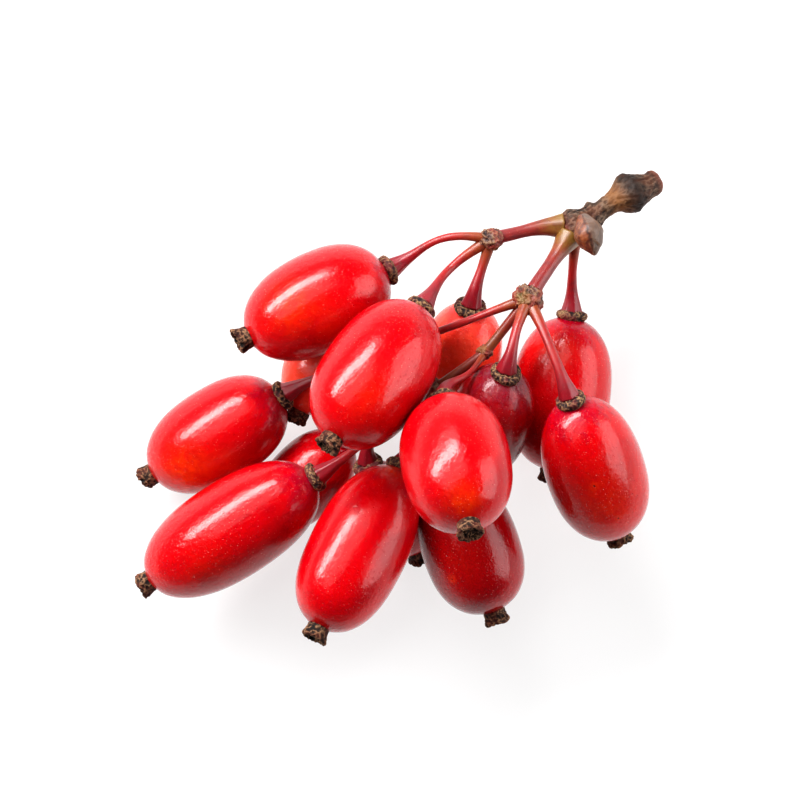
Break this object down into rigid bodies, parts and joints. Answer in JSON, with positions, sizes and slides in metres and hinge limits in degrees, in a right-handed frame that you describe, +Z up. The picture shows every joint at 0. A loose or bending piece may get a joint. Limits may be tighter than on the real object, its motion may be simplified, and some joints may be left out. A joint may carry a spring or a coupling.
{
  "type": "bunch of barberries",
  "caption": "Picked bunch of oblong red barberries hanging on forked pedicels from a short woody twig, laid on its side; fresh fruit for food, kitchen or garden scenes.",
  "frame": {"origin": "centre of the bounding box seen from above, at the height of the surface the bunch lies on", "axes": "+Z up from the surface, +X towards the cut end of the woody twig along the longer side of the bunch, +Y towards the upper stalk"},
  "size_m": [0.033, 0.0292, 0.0186],
  "materials": {
    "berry_red": "ripe, tight and very glossy scarlet fruit skin with fine pale specks",
    "berry_dark": "over-ripe crimson fruit skin, glossy with a thin greyish bloom near the stalk",
    "berry_orange": "less ripe orange-red fruit skin, glossy",
    "blossom_cap": "dry, dark brown, ridged and crinkled remnant of the flower",
    "pedicel": "waxy crimson to orange stalk, with a corky brown lip at the berry",
    "knuckle": "rough corky joint, brown with tan and reddish bumps",
    "peduncle": "waxy orange-red stalk",
    "twig_bark": "rough grey-brown wrinkled bark with a smoother tan stretch",
    "bud": "overlapping dry red-brown scales"
  },
  "bodies": {
    "root": {"berry_a": "berry_red", "berry_b": "berry_red", "berry_c": "berry_red", "berry_d": "berry_red", "berry_e": "berry_red", "berry_f": "berry_red", "berry_g": "berry_dark", "berry_h": "berry_red", "berry_i": "berry_red", "berry_j": "berry_dark", "berry_k": "berry_orange", "berry_l": "berry_orange", "berry_m": "berry_red", "berry_n": "berry_red", "cap_a": "blossom_cap", "cap_b": "blossom_cap", "cap_c": "blossom_cap", "cap_d": "blossom_cap", "cap_e": "blossom_cap", "cap_f": "blossom_cap", "cap_g": "blossom_cap", "cap_h": "blossom_cap", "cap_i": "blossom_cap", "cap_j": "blossom_cap", "cap_k": "blossom_cap", "cap_l": "blossom_cap", "cap_m": "blossom_cap", "cap_n": "blossom_cap", "pedicel_a": "pedicel", "pedicel_b": "pedicel", "pedicel_c": "pedicel", "pedicel_d": "pedicel", "pedicel_e": "pedicel", "pedicel_f": "pedicel", "pedicel_g": "pedicel", "pedicel_h": "pedicel", "pedicel_i": "pedicel", "pedicel_j": "pedicel", "pedicel_k": "pedicel", "pedicel_l": "pedicel", "pedicel_m": "pedicel", "pedicel_n": "pedicel", "knuckle_upper": "knuckle", "knuckle_lower": "knuckle", "knuckle_rachis": "knuckle", "knuckle_hidden": "knuckle", "peduncle_upper": "peduncle", "peduncle_lower": "peduncle", "rachis_upper": "peduncle", "rachis_lower": "peduncle", "twig": "twig_bark", "bud": "bud"}
  },
  "joints": []
}
